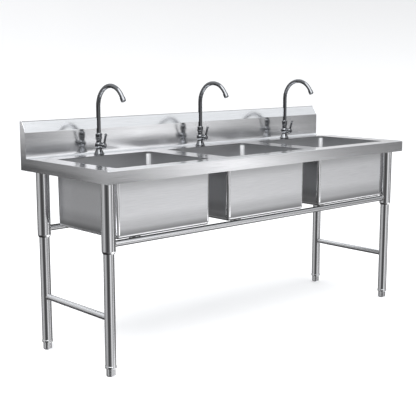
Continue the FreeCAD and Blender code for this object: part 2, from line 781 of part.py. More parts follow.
def spout_path(body):
    """The centreline of the spout: straight up from the collar, then one long bend over the basin."""
    path = new_sketch(body, "YZ_Plane", "centreline")
    start, shoulder = size("Sizes.spout_collar_top - 2"), size("Sizes.spout_shoulder")
    bend, sweep = size("Sizes.spout_bend"), size("Sizes.spout_sweep")
    riser = Part.LineSegment(FreeCAD.Vector(0, start, 0), FreeCAD.Vector(0, shoulder, 0))
    centre = FreeCAD.Vector(-bend, shoulder, 0)
    arch = Part.ArcOfCircle(Part.Circle(centre, FreeCAD.Vector(0, 0, 1), bend), 0, sweep * pi / 180)
    path.addGeometry(riser, False)
    path.addGeometry(arch, False)
    path.addConstraint(Sketcher.Constraint("Coincident", 0, 2, 1, 1))
    pin_point(path, 0, 1, "0", "Sizes.spout_collar_top - 2")
    pin_point(path, 0, 2, "0", "Sizes.spout_shoulder")
    pin_point(path, 1, 3, "-Sizes.spout_bend", "Sizes.spout_shoulder")
    height = "Sizes.spout_shoulder + Sizes.spout_bend * sin(Sizes.spout_sweep)"
    tip = path.addConstraint(Sketcher.Constraint("DistanceY", -1, 1, 1, 2, size(height)))
    path.setExpression(f"Constraints[{tip}]", height)
    return path


def tap_spout(name, side):
    """The swivelling swan-neck spout with the collar that holds it on the spigot."""
    body = new_body(name)
    bore = "Sizes.spout_width / 2 - Sizes.spout_wall"
    socket = "Sizes.spigot_width / 2 + Sizes.running_gap"
    collar, roof = "Sizes.spout_collar / 2", "Sizes.spigot_top + Sizes.slack"
    turn(body, [
        (socket, "Sizes.neck_top"), (collar, "Sizes.neck_top"), (collar, "Sizes.spout_collar_top - 3"),
        (f"{collar} - 3", "Sizes.spout_collar_top"), (bore, "Sizes.spout_collar_top"),
        (bore, roof), (socket, roof),
    ], "collar")
    section = new_sketch(body, "XY_Plane", "tube_section", "Sizes.spout_collar_top - 2")
    circle(section, "Sizes.spout_width")
    circle(section, "Sizes.spout_width - 2 * Sizes.spout_wall")
    path = spout_path(body)
    doc.recompute()
    tube = body.newObject("PartDesign::AdditivePipe", "swan_neck")
    tube.Profile = section
    tube.Spine = (path, ["Edge1", "Edge2"])
    at_tap(body, side)
    return keep(body)


def tap_nozzle(name, side):
    """The nozzle at the spout's mouth, which shapes the stream."""
    body = new_body(name)
    turn(body, ring("Sizes.nozzle_bore", "Sizes.nozzle_width", "0", "Sizes.nozzle_length"))
    rim = size("Sizes.nozzle_width")
    fillet(body, "rims", "Sizes.nozzle_round", lambda edge: edge.BoundBox.XLength > rim - 0.01)
    facing = FreeCAD.Rotation(FreeCAD.Vector(1, 0, 0), size("Sizes.spout_sweep"))
    place(body, f"{side} * Sizes.basin_pitch",
          "Sizes.tap_back - Sizes.spout_bend * (1 - cos(Sizes.spout_sweep))",
          f"{TAP_SEAT} + Sizes.spout_shoulder + Sizes.spout_bend * sin(Sizes.spout_sweep)", facing)
    return keep(body)


def tap_fixings():
    """The gasket above the deck and the lock nut below it, for each tap."""
    gaskets, nuts = [], []
    for side in SIDES.values():
        gasket = new_body("tap_gasket")
        bore = "Sizes.shank_width + Sizes.slack"
        turn(gasket, ring(bore, "Sizes.gasket_width", "0", "Sizes.gasket_rise"))
        gaskets.append(at_tap(gasket, side, DECK))
        nut = new_body("tap_lock_nut")
        flats = hexagon(new_sketch(nut, "XY_Plane", "nut_flats"), "Sizes.tap_nut_flats")
        pad(nut, flats, "nut", "Sizes.tap_nut_rise", backwards=True)
        thread = circle(new_sketch(nut, "XY_Plane", "thread"), "Sizes.shank_width")
        pocket(nut, thread, "bore")
        nuts.append(at_tap(nut, side, UNDERSIDE))
    group("tap_gaskets", gaskets)
    group("tap_lock_nuts", nuts)


# ---------------------------------------------------------------- drains

BASIN_FLOOR = "Sizes.deck_height - Sizes.basin_drop"


def at_drain(piece, side):
    """Stand a piece on the axis of a drain, with its own zero on the basin's floor."""
    return place(piece, f"{side} * Sizes.basin_pitch", "Sizes.basin_middle", BASIN_FLOOR)


def drain_body(name, side):
    """The drain: a flange on the basin's floor, a cup for the basket, and the outlet tail."""
    body = new_body(name)
    flange, cup, tail = "Sizes.drain_flange / 2", "Sizes.drain_cup / 2", "Sizes.drain_tail / 2"
    wall, top, shelf = "Sizes.drain_wall", "Sizes.drain_flange_rise", "-Sizes.drain_cup_drop"
    end = "-Sizes.drain_tail_drop"
    turn(body, [
        (f"{tail} - {wall}", end), (tail, end), (tail, shelf), (cup, shelf), (cup, "0"), (flange, "0"),
        (flange, f"{top} / 2"), (f"{flange} - 2", top), (f"{cup} - {wall}", top),
        (f"{cup} - {wall}", f"{shelf} + {wall}"), (f"{tail} - {wall}", f"{shelf} + {wall}"),
    ])
    at_drain(body, side)
    return keep(body)


def drain_fixings():
    """The gasket and the lock nut that clamp each drain under its basin."""
    gaskets, nuts = [], []
    cup, floor = "Sizes.drain_cup", "-Sizes.gauge"
    seat = f"{floor} - Sizes.drain_gasket_rise"
    for side in SIDES.values():
        gasket = new_body("drain_gasket")
        turn(gasket, ring(f"{cup} + Sizes.slack", "Sizes.drain_nut_flats", seat, floor))
        gaskets.append(at_drain(gasket, side))
        nut = new_body("drain_lock_nut")
        flats = hexagon(new_sketch(nut, "XY_Plane", "nut_flats", seat), "Sizes.drain_nut_flats")
        pad(nut, flats, "nut", "Sizes.drain_nut_rise", backwards=True)
        pocket(nut, circle(new_sketch(nut, "XY_Plane", "thread"), cup), "bore")
        nuts.append(at_drain(nut, side))
    group("drain_gaskets", gaskets)
    group("drain_lock_nuts", nuts)


def drain_basket(name, side):
    """The lift-out basket strainer, with its rim on the drain's flange and a knob to lift it by."""
    body = new_body(name)
    cup, rim, wall = "Sizes.basket_width / 2", "Sizes.basket_rim / 2", "Sizes.basket_wall"
    low, seat = "-Sizes.basket_drop", "Sizes.drain_flange_rise"
    post, knob = "Sizes.basket_post / 2", "Sizes.basket_knob / 2"
    turn(body, [
        ("0", low), (cup, low), (cup, seat), (rim, seat), (rim, f"{seat} + {wall}"),
        (f"{cup} - {wall}", f"{seat} + {wall}"), (f"{cup} - {wall}", f"{low} + {wall}"),
        (post, f"{low} + {wall}"), (post, "Sizes.basket_knob_top - 8"), (knob, "Sizes.basket_knob_top - 6"),
        (knob, "Sizes.basket_knob_top"), ("0", "Sizes.basket_knob_top"),
    ])
    for row, (reach, count) in enumerate(BASKET_HOLES):
        hole = new_sketch(body, "XY_Plane", f"hole_outline_{row}", low)
        circle(hole, "Sizes.basket_hole", f"{reach} * {cup}")
        cut = pocket(body, hole, f"hole_{row}", "3 * Sizes.basket_wall", both_ways=True)
        repeat_round(body, cut, f"holes_{row}", count)
    at_drain(body, side)
    return keep(body)


# ---------------------------------------------------------------- assembly and export


def build():
    """Make every piece of the sink."""
    worktop_deck()
    for name, side in (("left", -1), ("right", 1)):
        end_plate("end_plate_" + name, side)
        rung("rung_" + name, side)
    stiffener_channels()
    leg_mount_plates()
    rail("front_rail", "front_leg")
    rail("rear_rail", "rear_leg")
    for corner in CORNERS:
        sleeve(corner)
        leg(corner)
        foot_insert(corner)
        foot_stem(corner)
        foot(corner)
    sleeve_fastenings()
    for name, side in SIDES.items():
        basin("basin_" + name, side)
        drain_body("drain_body_" + name, side)
        drain_basket("drain_basket_" + name, side)
        tap_body("tap_body_" + name, side)
        tap_spout("tap_spout_" + name, side)
        tap_nozzle("tap_nozzle_" + name, side)
        tap_lever("tap_lever_" + name, side)
    drain_fixings()
    tap_fixings()
    tap_cartridges()
    doc.recompute()


def check():
    """Stop if any object failed to recompute or any piece has no sound shape."""
    failed = [o.Name for o in doc.Objects if {"Invalid", "Error"} & set(o.State)]
    unsound = [p.Label for p in parts if p.Shape.isNull() or not p.Shape.isValid()]
    if failed or unsound:
        raise RuntimeError(f"failed: {failed}, unsound: {unsound}")


def export():
    """Write each piece to a STEP file of its own name."""
    os.makedirs("parts", exist_ok=True)
    for piece in parts:
        piece.Shape.exportStep(f"parts/{piece.Label}.step")


fill_sheet()
build()
check()
export()
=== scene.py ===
"""The looks of the three compartment sink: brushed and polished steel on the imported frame, turned taps,
weld beads and fittings that ride on it, a pale studio and the camera.

Every length is in metres, in the frame's own axes: +X along the worktop, +Y to the splashback, +Z up.
"""
from math import cos, pi, radians, sin, tan

import bmesh
import bpy
from mathutils import Matrix, Vector


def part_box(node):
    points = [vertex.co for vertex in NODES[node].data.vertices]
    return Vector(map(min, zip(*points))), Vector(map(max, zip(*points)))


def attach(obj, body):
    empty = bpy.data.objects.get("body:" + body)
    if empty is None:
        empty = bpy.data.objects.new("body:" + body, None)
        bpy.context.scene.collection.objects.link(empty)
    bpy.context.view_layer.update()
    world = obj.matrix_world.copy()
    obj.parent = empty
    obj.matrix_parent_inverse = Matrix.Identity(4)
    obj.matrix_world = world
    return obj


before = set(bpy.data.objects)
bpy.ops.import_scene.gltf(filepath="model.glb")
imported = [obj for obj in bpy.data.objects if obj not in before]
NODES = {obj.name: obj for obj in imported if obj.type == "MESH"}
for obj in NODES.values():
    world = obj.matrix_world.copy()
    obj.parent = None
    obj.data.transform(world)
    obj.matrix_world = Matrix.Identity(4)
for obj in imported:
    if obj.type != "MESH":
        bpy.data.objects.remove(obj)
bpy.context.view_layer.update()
SIDES = ("left", "middle", "right")
CORNERS = ("front_left", "front_right", "rear_left", "rear_right")


# ---------------------------------------------------------------- camera, floor and light


def add_camera():
    """The camera at the front left of the sink, a little above the worktop, with a longish lens."""
    lens = bpy.data.cameras.new("camera")
    lens.sensor_width = 36
    lens.lens = 77.5
    lens.clip_end = 100
    camera = bpy.data.objects.new("camera", lens)
    camera.location = (-2.8085, -2.9099, 1.2042)
    heading, tilt = radians(42.6), radians(9.5)
    camera.rotation_euler = (pi / 2 - tilt, 0, -heading)
    bpy.context.scene.collection.objects.link(camera)
    bpy.context.scene.camera = camera


def add_floor():
    """A pale floor that turns up into a pale wall far behind, all the way round."""
    reach, rise, steps = 9.0, 5.0, 96
    profile = [(0.0, 0.0), (0.35 * reach, 0.0), (0.7 * reach, 0.0)]
    bend = 0.3 * reach
    for i in range(1, 13):
        turn = i / 12 * pi / 2
        profile.append((0.7 * reach + bend * sin(turn), bend * (1 - cos(turn))))
    profile.append((reach, rise + bend))
    points, faces = [], []
    for radius, height in profile[1:]:
        for k in range(steps):
            angle = 2 * pi * k / steps
            points.append((radius * cos(angle), radius * sin(angle), height))
    faces.append(tuple(range(steps)))
    for ring in range(len(profile) - 2):
        for k in range(steps):
            a, b = ring * steps + k, ring * steps + (k + 1) % steps
            faces.append((a, a + steps, b + steps, b))
    mesh = bpy.data.meshes.new("studio_floor")
    mesh.from_pydata(points, [], faces)
    mesh.polygons.foreach_set("use_smooth", [True] * len(mesh.polygons))
    floor = bpy.data.objects.new("studio_floor", mesh)
    floor.visible_glossy = False
    floor.visible_diffuse = False
    floor.visible_shadow = False
    bpy.context.scene.collection.objects.link(floor)
    mesh.materials.append(floor_paint())


def floor_paint():
    """Matt pale paint with a faint unevenness."""
    material = bpy.data.materials.new("floor_paint")
    material.use_nodes = True
    nodes, links = material.node_tree.nodes, material.node_tree.links
    nodes.clear()
    where = nodes.new("ShaderNodeTexCoord")
    where.label = "place on the floor"
    where.location = (-800, 0)
    mottle = nodes.new("ShaderNodeTexNoise")
    mottle.label = "faint unevenness"
    mottle.location = (-600, 0)
    mottle.inputs["Scale"].default_value = 0.8
    mottle.inputs["Detail"].default_value = 3
    tone = nodes.new("ShaderNodeValToRGB")
    tone.label = "pale tones"
    tone.location = (-400, 0)
    tone.color_ramp.elements[0].color = (0.90, 0.90, 0.905, 1)
    tone.color_ramp.elements[1].color = (0.94, 0.94, 0.945, 1)
    paint = nodes.new("ShaderNodeBsdfPrincipled")
    paint.label = "matt paint"
    paint.location = (-100, 0)
    paint.inputs["Roughness"].default_value = 0.7
    paint.inputs["Specular IOR Level"].default_value = 0.2
    paint.inputs["Emission Color"].default_value = (1, 1, 1, 1)
    paint.inputs["Emission Strength"].default_value = 0.3
    out = nodes.new("ShaderNodeOutputMaterial")
    out.label = "floor surface"
    out.location = (200, 0)
    links.new(where.outputs["Object"], mottle.inputs["Vector"])
    links.new(mottle.outputs["Fac"], tone.inputs["Fac"])
    links.new(tone.outputs["Color"], paint.inputs["Base Color"])
    links.new(paint.outputs["BSDF"], out.inputs["Surface"])
    paint_group = nodes.new("NodeFrame")
    paint_group.label = "mottled paint"
    for node in (mottle, tone):
        node.parent = paint_group
    return material


# Brightness of the studio's panels by compass bearing, from -180 to 180 degrees, with 0 behind the sink.
# The low panels stand below eye level, where upright faces and tubes mirror them. The high panels stand
# above it, where the deck mirrors them, and the ground cloths lie round the feet.
LOW_PANELS = (
    (-180, 0.70), (-173, 0.95), (-166, 1.00), (-159, 0.50), (-152, 0.14), (-117, 0.06), (-104, 0.10),
    (-90, 0.24), (-71, 0.64), (-52, 0.36), (-43, 0.40), (-36, 0.80), (-33, 0.70), (-31.5, 0.30),
    (-29.5, 0.06), (-27, 0.05), (-15, 0.05), (-6, 0.46), (14, 0.28), (30, 0.10), (60, 0.10),
    (92, 0.20), (118, 0.18), (127, 0.22), (133, 0.50), (139, 1.65), (143, 0.70), (147, 0.12),
    (153, 0.20), (168, 0.55),
)
HIGH_PANELS = (
    (-180, 0.55), (-140, 0.25), (-117, 0.10), (-90, 0.15), (-60, 0.20), (-42, 0.65), (-26, 0.65),
    (-12, 0.20), (0, 0.30), (24, 0.25), (31, 0.30), (38, 1.15), (44, 0.85), (52, 0.62), (60, 0.50),
    (90, 0.30), (118, 0.30), (131, 0.55), (139, 1.50), (145, 0.60), (152, 0.25),
)
GROUND_CLOTHS = (
    (-180, 0.50), (-150, 0.20), (-100, 0.06), (20, 0.06), (80, 0.40), (105, 1.90), (122, 2.90),
    (148, 2.30), (165, 1.10),
)


def set_tones(ramp, tones):
    """Spread brightness over a colour ramp that covers a whole turn."""
    ramp.interpolation = "EASE"
    ramp.elements.remove(ramp.elements[1])
    for i, (degrees, tone) in enumerate(tones):
        share = (degrees + 180) / 360
        stop = ramp.elements[0] if i == 0 else ramp.elements.new(share)
        stop.position = share
        stop.color = (tone, tone, tone * 1.01, 1)
    last = ramp.elements.new(1)
    last.color = ramp.elements[0].color


def add_studio_light():
    """A soft studio all round: bright and dark panels by bearing, a pale ceiling and a grey ground."""
    world = bpy.data.worlds.new("studio")
    bpy.context.scene.world = world
    world.use_nodes = True
    tree = world.node_tree
    nodes, links = tree.nodes, tree.links
    nodes.clear()
    way = nodes.new("ShaderNodeTexCoord")
    way.label = "direction"
    way.location = (-1400, 0)
    parts = nodes.new("ShaderNodeSeparateXYZ")
    parts.label = "east, north and up"
    parts.location = (-1200, 0)
    bearing = nodes.new("ShaderNodeMath")
    bearing.label = "compass bearing"
    bearing.operation = "ARCTAN2"
    bearing.location = (-1000, 200)
    lean = nodes.new("ShaderNodeMapRange")
    lean.label = "panels lean over"
    lean.location = (-1000, 0)
    lean.inputs["From Min"].default_value = sin(radians(-7.5))
    lean.inputs["From Max"].default_value = sin(radians(-3.5))
    lean.inputs["To Min"].default_value = radians(5)
    lean.inputs["To Max"].default_value = radians(-5)
    leaning = nodes.new("ShaderNodeMath")
    leaning.label = "bearing of a leaning panel"
    leaning.operation = "ADD"
    leaning.location = (-800, 200)
    turn = nodes.new("ShaderNodeMapRange")
    turn.label = "bearing as a share of a turn"
    turn.location = (-620, 200)
    turn.inputs["From Min"].default_value = -pi
    turn.inputs["From Max"].default_value = pi
    low_panels = nodes.new("ShaderNodeValToRGB")
    low_panels.label = "low panels"
    low_panels.location = (-440, 320)
    set_tones(low_panels.color_ramp, LOW_PANELS)
    high_panels = nodes.new("ShaderNodeValToRGB")
    high_panels.label = "high panels"
    high_panels.location = (-440, 80)
    set_tones(high_panels.color_ramp, HIGH_PANELS)
    raised = nodes.new("ShaderNodeMapRange")
    raised.label = "where the high panels begin"
    raised.interpolation_type = "SMOOTHSTEP"
    raised.location = (-440, -160)
    raised.inputs["From Min"].default_value = sin(radians(-2))
    raised.inputs["From Max"].default_value = sin(radians(3))
    ceiling = nodes.new("ShaderNodeMapRange")
    ceiling.label = "where the ceiling begins"
    ceiling.interpolation_type = "SMOOTHSTEP"
    ceiling.location = (-440, -420)
    ceiling.inputs["From Min"].default_value = sin(radians(18))
    ceiling.inputs["From Max"].default_value = sin(radians(34))
    ground = nodes.new("ShaderNodeMapRange")
    ground.label = "where the ground begins"
    ground.interpolation_type = "SMOOTHSTEP"
    ground.location = (-440, -680)
    ground.inputs["From Min"].default_value = sin(radians(-17))
    ground.inputs["From Max"].default_value = sin(radians(-27))
    cloths = nodes.new("ShaderNodeValToRGB")
    cloths.label = "ground cloths"
    cloths.location = (-120, -160)
    set_tones(cloths.color_ramp, GROUND_CLOTHS)
    panels = nodes.new("ShaderNodeMix")
    panels.label = "low and high panels"
    panels.data_type = "RGBA"
    panels.location = (-120, 200)
    add_ceiling = nodes.new("ShaderNodeMix")
    add_ceiling.label = "panels to ceiling"
    add_ceiling.data_type = "RGBA"
    add_ceiling.location = (80, 100)
    add_ceiling.inputs[7].default_value = (0.96, 0.98, 1.0, 1)
    add_ground = nodes.new("ShaderNodeMix")
    add_ground.label = "panels to ground"
    add_ground.data_type = "RGBA"
    add_ground.location = (280, 0)
    glow = nodes.new("ShaderNodeBackground")
    glow.label = "studio glow"
    glow.location = (480, 0)
    out = nodes.new("ShaderNodeOutputWorld")
    out.label = "light all round"
    out.location = (680, 0)
    links.new(way.outputs["Generated"], parts.inputs["Vector"])
    links.new(parts.outputs["X"], bearing.inputs[0])
    links.new(parts.outputs["Y"], bearing.inputs[1])
    links.new(parts.outputs["Z"], lean.inputs["Value"])
    links.new(bearing.outputs["Value"], leaning.inputs[0])
    links.new(lean.outputs["Result"], leaning.inputs[1])
    links.new(leaning.outputs["Value"], turn.inputs["Value"])
    links.new(turn.outputs["Result"], low_panels.inputs["Fac"])
    links.new(turn.outputs["Result"], high_panels.inputs["Fac"])
    links.new(turn.outputs["Result"], cloths.inputs["Fac"])
    links.new(parts.outputs["Z"], raised.inputs["Value"])
    links.new(parts.outputs["Z"], ceiling.inputs["Value"])
    links.new(parts.outputs["Z"], ground.inputs["Value"])
    links.new(raised.outputs["Result"], panels.inputs["Factor"])
    links.new(low_panels.outputs["Color"], panels.inputs[6])
    links.new(high_panels.outputs["Color"], panels.inputs[7])
    links.new(ceiling.outputs["Result"], add_ceiling.inputs["Factor"])
    links.new(panels.outputs[2], add_ceiling.inputs[6])
    links.new(ground.outputs["Result"], add_ground.inputs["Factor"])
    links.new(add_ceiling.outputs[2], add_ground.inputs[6])
    links.new(cloths.outputs["Color"], add_ground.inputs[7])
    links.new(add_ground.outputs[2], glow.inputs["Color"])
    links.new(glow.outputs["Background"], out.inputs["Surface"])
    panels_group = nodes.new("NodeFrame")
    panels_group.label = "panels by bearing"
    for node in (bearing, lean, leaning, turn, low_panels, high_panels, panels):
        node.parent = panels_group
    ceiling_group = nodes.new("NodeFrame")
    ceiling_group.label = "ceiling and ground"
    for node in (raised, ceiling, ground, cloths, add_ceiling, add_ground):
        node.parent = ceiling_group

    lamp = bpy.data.lights.new("overhead_softbox", "AREA")
    lamp.shape = "RECTANGLE"
    lamp.size, lamp.size_y = 5.0, 4.0
    lamp.energy = 220
    softbox = bpy.data.objects.new("overhead_softbox", lamp)
    softbox.location = (-1.2, -1.4, 4.6)
    softbox.rotation_euler = (radians(16), radians(-14), 0)
    softbox.visible_camera = False
    bpy.context.scene.collection.objects.link(softbox)
    bpy.context.scene.view_settings.view_transform = "Standard"


# ---------------------------------------------------------------- materials


def brushed_steel(name, grain, roughness, unevenness, ridge, painted_shading=None):
    """Stainless sheet or tube. grain gives how tightly the brushing is packed along X, Y and Z.

    painted_shading gives painted shade by height: the base colour is multiplied by a share of brightness
    at each height, as pairs of height and share.
    """
    material = bpy.data.materials.new(name)
    material.use_nodes = True
    tree = material.node_tree
    nodes, links = tree.nodes, tree.links
    nodes.clear()

    where = nodes.new("ShaderNodeTexCoord")
    where.label = "place on the piece"
    where.location = (-1500, 0)
    along = nodes.new("ShaderNodeMapping")
    along.label = "stretch along the grain"
    along.location = (-1300, 200)
    along.inputs["Scale"].default_value = grain

    fine = nodes.new("ShaderNodeTexNoise")
    fine.label = "brush lines"
    fine.location = (-1050, 400)
    fine.inputs["Scale"].default_value = 14
    fine.inputs["Detail"].default_value = 5
    fine.inputs["Roughness"].default_value = 0.65
    streaks = nodes.new("ShaderNodeTexNoise")
    streaks.label = "broad streaks"
    streaks.location = (-1050, 150)
    streaks.inputs["Scale"].default_value = 1.6
    streaks.inputs["Detail"].default_value = 3
    smears = nodes.new("ShaderNodeTexNoise")
    smears.label = "wiping smears"
    smears.location = (-1050, -150)
    smears.inputs["Scale"].default_value = 4.5
    smears.inputs["Detail"].default_value = 4
    smears.inputs["Distortion"].default_value = 0.8

    tone = nodes.new("ShaderNodeValToRGB")
    tone.label = "steel tones"
    tone.location = (-800, 400)
    tone.color_ramp.elements[0].position = 0.28
    tone.color_ramp.elements[0].color = STEEL_DARK
    tone.color_ramp.elements[1].position = 0.72
    tone.color_ramp.elements[1].color = STEEL_LIGHT

    streak_gloss = nodes.new("ShaderNodeMapRange")
    streak_gloss.label = "gloss by streak"
    streak_gloss.location = (-800, 120)
    streak_gloss.inputs["From Min"].default_value = 0.3
    streak_gloss.inputs["From Max"].default_value = 0.7
    streak_gloss.inputs["To Min"].default_value = roughness - unevenness
    streak_gloss.inputs["To Max"].default_value = roughness + unevenness
    smear_gloss = nodes.new("ShaderNodeMapRange")
    smear_gloss.label = "gloss by smear"
    smear_gloss.location = (-800, -150)
    smear_gloss.inputs["From Min"].default_value = 0.35
    smear_gloss.inputs["From Max"].default_value = 0.75
    smear_gloss.inputs["To Min"].default_value = 0
    smear_gloss.inputs["To Max"].default_value = 1.2 * unevenness
    gloss = nodes.new("ShaderNodeMath")
    gloss.label = "gloss"
    gloss.operation = "ADD"
    gloss.use_clamp = True
    gloss.location = (-550, 0)

    ridges = nodes.new("ShaderNodeBump")
    ridges.label = "brush ridges"
    ridges.location = (-550, -250)
    ridges.inputs["Strength"].default_value = ridge
    ridges.inputs["Distance"].default_value = 0.0004
    waviness = nodes.new("ShaderNodeTexNoise")
    waviness.label = "slack in the sheet"
    waviness.location = (-1050, -420)
    waviness.inputs["Scale"].default_value = 2.2
    waviness.inputs["Detail"].default_value = 1
    ripple = nodes.new("ShaderNodeBump")
    ripple.label = "slack as slope"
    ripple.location = (-800, -420)
    ripple.inputs["Strength"].default_value = 0.12
    ripple.inputs["Distance"].default_value = 0.004

    steel = nodes.new("ShaderNodeBsdfPrincipled")
    steel.label = "stainless steel"
    steel.location = (-250, 100)
    steel.inputs["Metallic"].default_value = 1
    out = nodes.new("ShaderNodeOutputMaterial")
    out.label = "steel surface"
    out.location = (50, 100)

    links.new(where.outputs["Object"], along.inputs["Vector"])
    links.new(along.outputs["Vector"], fine.inputs["Vector"])
    links.new(along.outputs["Vector"], streaks.inputs["Vector"])
    links.new(where.outputs["Object"], smears.inputs["Vector"])
    links.new(where.outputs["Object"], waviness.inputs["Vector"])
    links.new(fine.outputs["Fac"], tone.inputs["Fac"])
    links.new(streaks.outputs["Fac"], streak_gloss.inputs["Value"])
    links.new(smears.outputs["Fac"], smear_gloss.inputs["Value"])
    links.new(streak_gloss.outputs["Result"], gloss.inputs[0])
    links.new(smear_gloss.outputs["Result"], gloss.inputs[1])
    links.new(gloss.outputs["Value"], steel.inputs["Roughness"])
    links.new(waviness.outputs["Fac"], ripple.inputs["Height"])
    links.new(fine.outputs["Fac"], ridges.inputs["Height"])
    links.new(ripple.outputs["Normal"], ridges.inputs["Normal"])
    links.new(ridges.outputs["Normal"], steel.inputs["Normal"])
    links.new(steel.outputs["BSDF"], out.inputs["Surface"])
    brushing_group = nodes.new("NodeFrame")
    brushing_group.label = "brushing"
    for node in (along, fine, streaks, tone):
        node.parent = brushing_group
    gloss_group = nodes.new("NodeFrame")
    gloss_group.label = "gloss"
    for node in (smears, streak_gloss, smear_gloss, gloss):
        node.parent = gloss_group
    surface_group = nodes.new("NodeFrame")
    surface_group.label = "surface"
    for node in (waviness, ripple, ridges):
        node.parent = surface_group
    if painted_shading is None:
        links.new(tone.outputs["Color"], steel.inputs["Base Color"])
        return material

    # Painted shade by height: the brushed tone is multiplied by a ramp of brightness set by the piece's
    # height.
    bottom, top = painted_shading[0][0], painted_shading[-1][0]
    height = nodes.new("ShaderNodeSeparateXYZ")
    height.label = "height"
    height.location = (-1050, 700)
    share = nodes.new("ShaderNodeMapRange")
    share.label = "height as a share"
    share.location = (-860, 700)
    share.inputs["From Min"].default_value = bottom
    share.inputs["From Max"].default_value = top
    painted_shade = nodes.new("ShaderNodeValToRGB")
    painted_shade.label = "polish by height"
    painted_shade.location = (-680, 700)
    painted_shade.color_ramp.interpolation = "EASE"
    painted_shade.color_ramp.elements.remove(painted_shade.color_ramp.elements[1])
    for i, (level, bright) in enumerate(painted_shading):
        place = (level - bottom) / (top - bottom)
        stop = painted_shade.color_ramp.elements[0] if i == 0 else painted_shade.color_ramp.elements.new(place)
        stop.position = place
        stop.color = (bright, bright, bright, 1)
    painted_tone = nodes.new("ShaderNodeMix")
    painted_tone.label = "tone with polish"
    painted_tone.data_type = "RGBA"
    painted_tone.blend_type = "MULTIPLY"
    painted_tone.location = (-420, 500)
    painted_tone.inputs["Factor"].default_value = 1
    links.new(where.outputs["Object"], height.inputs["Vector"])
    links.new(height.outputs["Z"], share.inputs["Value"])
    links.new(share.outputs["Result"], painted_shade.inputs["Fac"])
    links.new(tone.outputs["Color"], painted_tone.inputs[6])
    links.new(painted_shade.outputs["Color"], painted_tone.inputs[7])
    links.new(painted_tone.outputs[2], steel.inputs["Base Color"])
    painted_shade_group = nodes.new("NodeFrame")
    painted_shade_group.label = "polish by height"
    for node in (height, share, painted_shade, painted_tone):
        node.parent = painted_shade_group
    return material


def polished_metal(name, colour, roughness, spots, mark_size=38, relief=0.05):
    """Plated, cast or welded metal with faint water spots and finger marks."""
    material = bpy.data.materials.new(name)
    material.use_nodes = True
    tree = material.node_tree
    nodes, links = tree.nodes, tree.links
    nodes.clear()
    where = nodes.new("ShaderNodeTexCoord")
    where.label = "place on the piece"
    where.location = (-1200, 0)
    marks = nodes.new("ShaderNodeTexNoise")
    marks.label = "finger marks"
    marks.location = (-950, 150)
    marks.inputs["Scale"].default_value = mark_size
    marks.inputs["Detail"].default_value = 5
    drops = nodes.new("ShaderNodeTexVoronoi")
    drops.label = "dried water spots"
    drops.feature = "SMOOTH_F1"
    drops.location = (-950, -150)
    drops.inputs["Scale"].default_value = 160
    mark_gloss = nodes.new("ShaderNodeMapRange")
    mark_gloss.label = "gloss by finger marks"
    mark_gloss.location = (-700, 150)
    mark_gloss.inputs["From Min"].default_value = 0.4
    mark_gloss.inputs["From Max"].default_value = 0.75
    mark_gloss.inputs["To Min"].default_value = roughness
    mark_gloss.inputs["To Max"].default_value = roughness + spots
    spot_gloss = nodes.new("ShaderNodeMapRange")
    spot_gloss.label = "gloss by spots"
    spot_gloss.location = (-700, -150)
    spot_gloss.inputs["From Min"].default_value = 0.0
    spot_gloss.inputs["From Max"].default_value = 0.25
    spot_gloss.inputs["To Min"].default_value = spots
    spot_gloss.inputs["To Max"].default_value = 0.0
    gloss = nodes.new("ShaderNodeMath")
    gloss.label = "gloss"
    gloss.operation = "ADD"
    gloss.use_clamp = True
    gloss.location = (-450, 0)
    tint = nodes.new("ShaderNodeValToRGB")
    tint.label = "plating tones"
    tint.location = (-700, 420)
    tint.color_ramp.elements[0].color = tuple(0.92 * c for c in colour[:3]) + (1,)
    tint.color_ramp.elements[1].color = colour
    peel = nodes.new("ShaderNodeBump")
    peel.label = "polishing unevenness"
    peel.location = (-450, -250)
    peel.inputs["Strength"].default_value = relief
    peel.inputs["Distance"].default_value = 0.0004
    metal = nodes.new("ShaderNodeBsdfPrincipled")
    metal.label = "polished metal"
    metal.location = (-200, 100)
    metal.inputs["Metallic"].default_value = 1
    out = nodes.new("ShaderNodeOutputMaterial")
    out.label = "metal surface"
    out.location = (100, 100)
    links.new(where.outputs["Object"], marks.inputs["Vector"])
    links.new(where.outputs["Object"], drops.inputs["Vector"])
    links.new(marks.outputs["Fac"], mark_gloss.inputs["Value"])
    links.new(marks.outputs["Fac"], tint.inputs["Fac"])
    links.new(marks.outputs["Fac"], peel.inputs["Height"])
    links.new(drops.outputs["Distance"], spot_gloss.inputs["Value"])
    links.new(mark_gloss.outputs["Result"], gloss.inputs[0])
    links.new(spot_gloss.outputs["Result"], gloss.inputs[1])
    links.new(gloss.outputs["Value"], metal.inputs["Roughness"])
    links.new(tint.outputs["Color"], metal.inputs["Base Color"])
    links.new(peel.outputs["Normal"], metal.inputs["Normal"])
    links.new(metal.outputs["BSDF"], out.inputs["Surface"])
    marks_group = nodes.new("NodeFrame")
    marks_group.label = "marks in use"
    for node in (marks, drops, mark_gloss, spot_gloss, gloss):
        node.parent = marks_group
    plating_group = nodes.new("NodeFrame")
    plating_group.label = "plating"
    for node in (tint, peel):
        node.parent = plating_group
    return material


